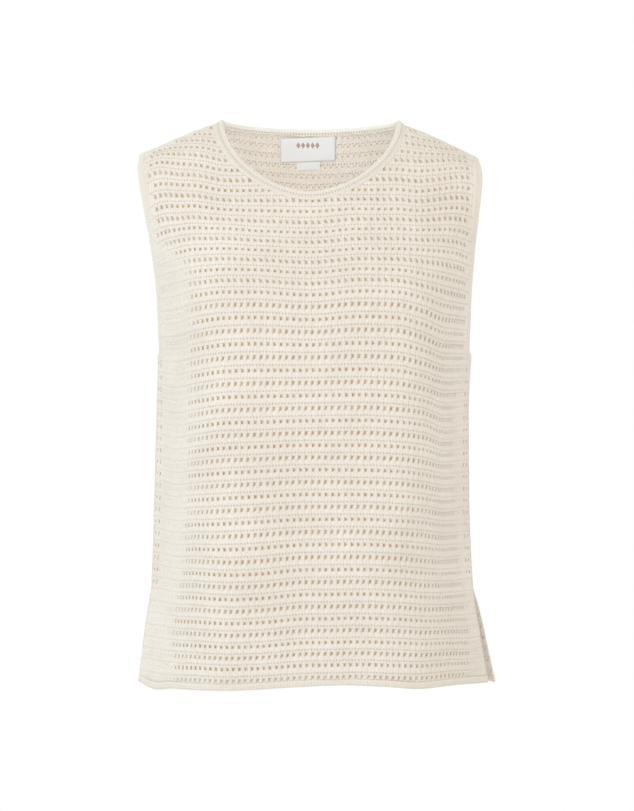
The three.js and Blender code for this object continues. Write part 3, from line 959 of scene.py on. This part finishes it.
    patches = add("MapRange SMOOTHSTEP", drift, 0.3, 0.7, 0.0, 1.0)
    colour = add("Mix RGBA", patches, linear("#efe9e1"), linear("#f4efe8"))
    # Painted shade in the stitches' gaps, in a thin line along the dents' row, and in the dents.
    for share, tone, shade in (
        (gap_shade, gap_shade_tone, "#b9ab94"),
        (line, 0.10, "#a39a8a"),
        (dent_and_shade, dent_shade_tone, "#a39377"),
    ):
        share = add("Math MULTIPLY", share, tone)
        colour = add("Mix RGBA", share, colour, linear(shade))
    # Tan painted shade inside each eyelet, for the shade in the hollow behind it.
    colour = add("Mix RGBA", depth, colour, linear("#c6a474"))

    height = add("Math MULTIPLY", knit, 0.35)
    height = add("Math SUBTRACT", height, add("Math MULTIPLY", dent_and_shade, 0.3))
    height = add("Math ADD", height, add("Math MULTIPLY", fuzz, 0.25))
    finish_surface(add, colour, height, 0.0009, 0.9)
    return material


def rib_material():
    """The same yarn knitted as a smooth double band, joined on by a row of linking stitches: matt,
    with a line of short dashes along it, one a wale, painted shade between its ribs and courses,
    and a broken tan line of painted shadow in the groove where it is linked on."""
    material, add = blank_material("ribbed_cotton_viscose_band")
    wales = add("SeparateXYZ", add("UVMap cells"))
    reach = wales.node.outputs["Y"]
    place = add("TexCoord", out="Object")
    fuzz = add("TexNoise", place, 620.0, 2.0, 0.6)
    uneven = add("TexNoise", place, 310.0, 1.0, 0.6)
    drift = add("TexNoise", place, 16.0, 3.0, 0.5)
    # The marks' strength, which differs between the neck, the armholes and the hems.
    marks = add("Attribute marks", out="Fac")
    inner = add("Attribute inner", out="Fac")

    rib = add("Math COSINE", add("Math MULTIPLY", wales, TURN))
    # The dashes lie 3 mm into the band, and a little deeper on its inner side.
    along = add("Math MULTIPLY_ADD", inner, 1.1, 3.0)
    along = add("Math ABSOLUTE", add("Math SUBTRACT", reach, along))
    along = add("MapRange", along, 0.6, 1.4, 1.0, 0.0)
    dash = add("Math MULTIPLY", add("MapRange", rib, -0.9, 0.0, 1.0, 0.0), along)
    dash = add("Math MULTIPLY", dash, marks)
    # A broken tan line of painted shadow in a groove along the seam, stronger on the inner side.
    join_groove_and_shadow = add("Math ABSOLUTE", add("Math SUBTRACT", reach, 0.6))
    join_groove_and_shadow = add("MapRange", join_groove_and_shadow, 0.25, 0.9, 1.0, 0.0)
    broken = add("MapRange", uneven, 0.42, 0.6, 0.35, 1.0)
    join_groove_and_shadow = add("Math MULTIPLY", join_groove_and_shadow, broken)
    join_groove_and_shadow = add("Math MULTIPLY", join_groove_and_shadow, add("Math MULTIPLY_ADD", inner, 0.4, 0.16))
    # Courses run along the band, 1.3 mm apart.
    courses = add("Math COSINE", add("Math MULTIPLY", reach, TURN / 1.3))
    grain = add("Math MULTIPLY", add("Math ADD", rib, courses), 0.5)

    patches = add("MapRange", drift, 0.3, 0.7, 0.0, 1.0)
    colour = add("Mix RGBA", patches, linear("#e9e4db"), linear("#ede9e1"))
    # Painted shade in the gaps between the ribs and the courses.
    gap_shade = add("Math MULTIPLY", add("MapRange", grain, -0.8, 0.2, 1.0, 0.0), 0.09)
    dash_tone = add("Math MULTIPLY", dash, add("Math MULTIPLY_ADD", inner, 0.24, 0.38))
    for share, shade in ((gap_shade, "#b9ab94"), (dash_tone, "#ab9c85"), (join_groove_and_shadow, "#a5855c")):
        colour = add("Mix RGBA", share, colour, linear(shade))
    height = fuzz
    for part, rise in ((grain, 0.3), (dash, -1.6), (join_groove_and_shadow, -1.2)):
        height = add("Math MULTIPLY_ADD", part, rise, height)
    finish_surface(add, colour, height, 0.0004, 0.9)
    return material


def label_material():
    """Polyester satin tape: smooth white with a faint cross weave, a soft shine and a row of small
    lozenges woven in brown."""
    material, add = blank_material("woven_satin_label")
    place = add("TexCoord", out="Object")
    x = add("SeparateXYZ", place)
    z = x.node.outputs["Z"]

    # Five lozenges, 5 mm apart, each 4.4 mm wide and 6.4 mm tall.
    along = add("Math MULTIPLY_ADD", x, 200.0, 0.48)
    inside = add("Math LESS_THAN", add("Math ABSOLUTE", along), 2.5)
    across = add("Math FRACT", add("Math ADD", along, 0.5))
    across = add("Math ABSOLUTE", add("Math SUBTRACT", across, 0.5))
    up = add("Math ABSOLUTE", add("Math MULTIPLY_ADD", z, 312.0, 6.0))
    shape = add("Math LESS_THAN", add("Math MULTIPLY_ADD", across, 2.27, up), 1.0)
    motif = add("Math MULTIPLY", add("Math MULTIPLY", inside, shape), 0.7)
    weave = add("TexWave Z", place, 900.0, 0.4, 1.0, out="Fac")
    white = add("Mix RGBA", weave, linear("#e9eaeb"), linear("#eff0f1"))
    colour = add("Mix RGBA", motif, white, linear("#9a5f38"))
    finish_surface(add, colour, weave, 0.0001, 0.45, 0.1)
    return material


KNIT = knit_material("openwork_cotton_viscose_knit", 1.0, 1.0, 0.5, 0.42, 0.32)
KNIT_REVERSE = knit_material("openwork_knit_reverse", 0.85, 0.8, 0.85, 0.25, 0.68)
RIB = rib_material()
LABEL = label_material()

# ---- Pieces ----

front_knit = knit_panel(FRONT, FRONT_ROWS, FRONT_SWAY, FRONT_FOLDS)
back_knit = knit_panel(BACK, BACK_ROWS, BACK_SWAY, BACK_FOLDS)

# Reach into the hole, how far off the cloth, and how much of the rib's swell.
NECK_SECTION = [
    (-1.9, -0.5, 0), (-2.1, 0.9, 0), (-1.6, 1.45, 0.3), (-0.4, 1.7, 0.8), (1, 1.5, 0.6),
    (2.6, 1.45, 1), (4.6, 1.5, 1), (6.4, 1.4, 1), (7.7, 1.1, 0.9), (8.5, 0.45, 0.6),
    (8.6, -0.3, 0.4), (8, -1, 0.7), (6.6, -1.35, 1), (4.4, -1.45, 1), (2.2, -1.4, 1),
    (0.2, -1.3, 0.6),
]
neck_piece = band("neck_rib", neck_stations(), NECK_SECTION, 0.05, 1.0)
ARMHOLE_SECTION = [
    (-1.9, -0.4, 0), (-2.1, 0.9, 0), (-1.5, 1.4, 0.3), (-0.2, 1.6, 0.8), (1, 1.4, 0.5),
    (2.6, 1.45, 1), (4.4, 1.45, 1), (6, 1.25, 1), (7.1, 0.85, 0.6), (7.6, 0.1, 0.3),
    (7.3, -0.7, 0.5), (6.2, -1.2, 1), (4.2, -1.4, 1), (2, -1.4, 1), (0.2, -1.3, 0.5),
]
left_piece = band("armhole_rib_left", armhole_stations(-1), ARMHOLE_SECTION, 0.03, 0.2)
right_piece = band("armhole_rib_right", armhole_stations(1), ARMHOLE_SECTION, 0.03, 0.2)


def hem_piece(face):
    """The plain double hem below a panel: a flat rounded section run along its lower edge."""
    section = [
        (6.7, 0.3), (7.4, 1.15), (6.0, 1.5), (3.0, 1.45), (1.0, 1.25), (0.2, 0.6), (0.1, -0.3),
        (1.0, -0.9), (3.4, -1.0), (5.6, -0.7),
    ]
    # Four stations a cell.
    count = 8 * HALF_CELLS
    around = len(section)
    bm = bmesh.new()
    uv = bm.loops.layers.uv.new("cells")
    mark_share = bm.verts.layers.float.new("marks")
    place = new_grid(bm, count, around, count // 2)
    lay_uv(bm, uv, place, lambda k, m: (k / 2, section[m % around][0] - 0.7))
    widths = section_widths(face, HEM_Z + 3)
    for vert, (k, m) in place.items():
        side = side_of(k)
        places, run = widths[side]
        x_level = read_run(run, places, abs(k) / (count // 2) * run[-1])
        share = min(1, x_level / places[-1])
        up, off = section[m % around]
        vert[mark_share] = 0.3
        z = hem_line(face, side * x_level, HEM_Z + up)
        x = side * share * (side_at(face, side, z) - 0.2)
        normal = normal_at(face, x * 0.998, z)
        vert.co = point_at(face, x, z) + normal * off
    bmesh.ops.remove_doubles(bm, verts=bm.verts, dist=1e-4)
    open_ends = [edge for edge in bm.edges if edge.is_boundary]
    bmesh.ops.holes_fill(bm, edges=open_ends, sides=0)
    bmesh.ops.recalc_face_normals(bm, faces=bm.faces)
    return new_piece(f"{face['name']}_hem_rib", bm, RIB)


front_hem_piece = hem_piece(FRONT)
back_hem_piece = hem_piece(BACK)


def tape_piece(name, left, right, top, bottom):
    """A woven tape inside the back panel, held along its upper edge, so its foot stands off."""
    tilt = 0.03
    lift = 1.15
    bulge = 0.15
    bm = bmesh.new()
    bmesh.ops.create_grid(bm, x_segments=28, y_segments=12, size=0.5)
    middle = (left + right) / 2
    for vert in bm.verts:
        across = vert.co.x
        up = vert.co.y + 0.5
        x = middle + across * (right - left)
        z = bottom + (top - bottom) * up + tilt * (x - middle)
        curl = bulge * (1 - up) * (1 + 0.4 * math.cos(5 * across + 0.6))
        vert.co = point_at(BACK, x, z) - normal_at(BACK, x, z) * (lift + curl)
    bmesh.ops.recalc_face_normals(bm, faces=bm.faces)
    piece = new_piece(name, bm, LABEL)
    wall = piece.modifiers.new("tape", "SOLIDIFY")
    wall.thickness = 0.5 * MM
    wall.offset = 0
    return piece


label_piece = tape_piece("woven_label", -31.4, 26.6, -11.0, -34.4)
size_piece = tape_piece("size_tab", -14.2, 10.6, -34.7, -42.6)

# ---- Stage ----


def stage_material(name, colour, strength):
    """Plain white paper: matt for the floor, and shining evenly, at a strength, all round."""
    material, add = blank_material(name)
    if strength:
        surface = add("Emission", linear(colour), strength)
    else:
        sockets = {"Base Color": linear(colour), "Roughness": 0.8}
        surface = add("BsdfPrincipled", sockets=sockets)
    add("OutputMaterial", surface)
    return material


floor_mesh = bmesh.new()
bmesh.ops.create_circle(floor_mesh, cap_ends=True, segments=96, radius=1900)
bmesh.ops.translate(floor_mesh, vec=(0, 0, -1000), verts=floor_mesh.verts)
floor = new_piece("floor", floor_mesh, stage_material("pale_floor", "#f4f4f3", 0), False)
dome_mesh = bmesh.new()
bmesh.ops.create_icosphere(dome_mesh, subdivisions=4, radius=9000)
dome = new_piece("white_surround", dome_mesh, stage_material("white_paper", "#ffffff", 1.0))
# The surround is only seen: the lights and the world's light pass through it.
dome.visible_diffuse = False
dome.visible_glossy = False
dome.visible_transmission = False
dome.visible_shadow = False

world = bpy.data.worlds.new("studio")
world.use_nodes = True
background = world.node_tree.nodes["Background"]
background.inputs["Color"].default_value = linear("#fffef8")
background.inputs["Strength"].default_value = 0.855
bpy.context.scene.world = world


def softbox(name, place, target, size, power, colour):
    """A rectangular lamp that faces its target. Its power is in watts."""
    light = bpy.data.lights.new(name, "AREA")
    light.shape = "RECTANGLE"
    light.size = size[0]
    light.size_y = size[1]
    light.energy = power
    light.color = linear(colour)[:3]
    lamp = bpy.data.objects.new(name, light)
    lamp.location = place
    lamp.rotation_euler = (Vector(target) - Vector(place)).to_track_quat("-Z", "Y").to_euler()
    lamp.visible_camera = False
    bpy.context.collection.objects.link(lamp)


softbox("key", (-2.2, -2.4, 0.9), (0, 0, -0.3), (1.6, 2.0), 24.6, "#deeeff")
softbox("front", (0.3, -3.05, 0.5), (0, 0, -0.2), (1.4, 1.4), 7.7, "#ffd8b8")
softbox("top", (0.6, -1.3, 1.7), (0.1, 0, -0.1), (0.9, 0.9), 2.4, "#fff6ec")
# A small reflector in the hollow, below the front of the neck, lights the inner side of the back.
softbox("reflector", (-0.014, -0.066, -0.118), (0, 0.10, -0.06), (0.17, 0.05), 0.155, "#f6faff")
softbox("back_left", (-2.0, 2.4, 0.8), (0, 0, -0.3), (1.6, 1.8), 15, "#fffaf4")
softbox("back_right", (2.2, 2.2, 0.6), (0, 0, -0.3), (1.6, 1.8), 5.0, "#fffaf4")

bpy.context.scene.view_settings.view_transform = "Standard"
bpy.context.scene.view_settings.look = "None"

# ---- The frame ----

for piece, node_name, slot in (
    (front_knit, "front_panel", "knit"),
    (back_knit, "back_panel", "knit"),
    (neck_piece, "neck_band", "rib"),
    (left_piece, "armhole_band_left", "rib"),
    (right_piece, "armhole_band_right", "rib"),
    (front_hem_piece, "front_hem", "rib"),
    (back_hem_piece, "back_hem", "rib"),
    (label_piece, "neck_label", "label"),
    (size_piece, "size_label", "label"),
):
    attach(piece, "root")
    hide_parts(node_name)
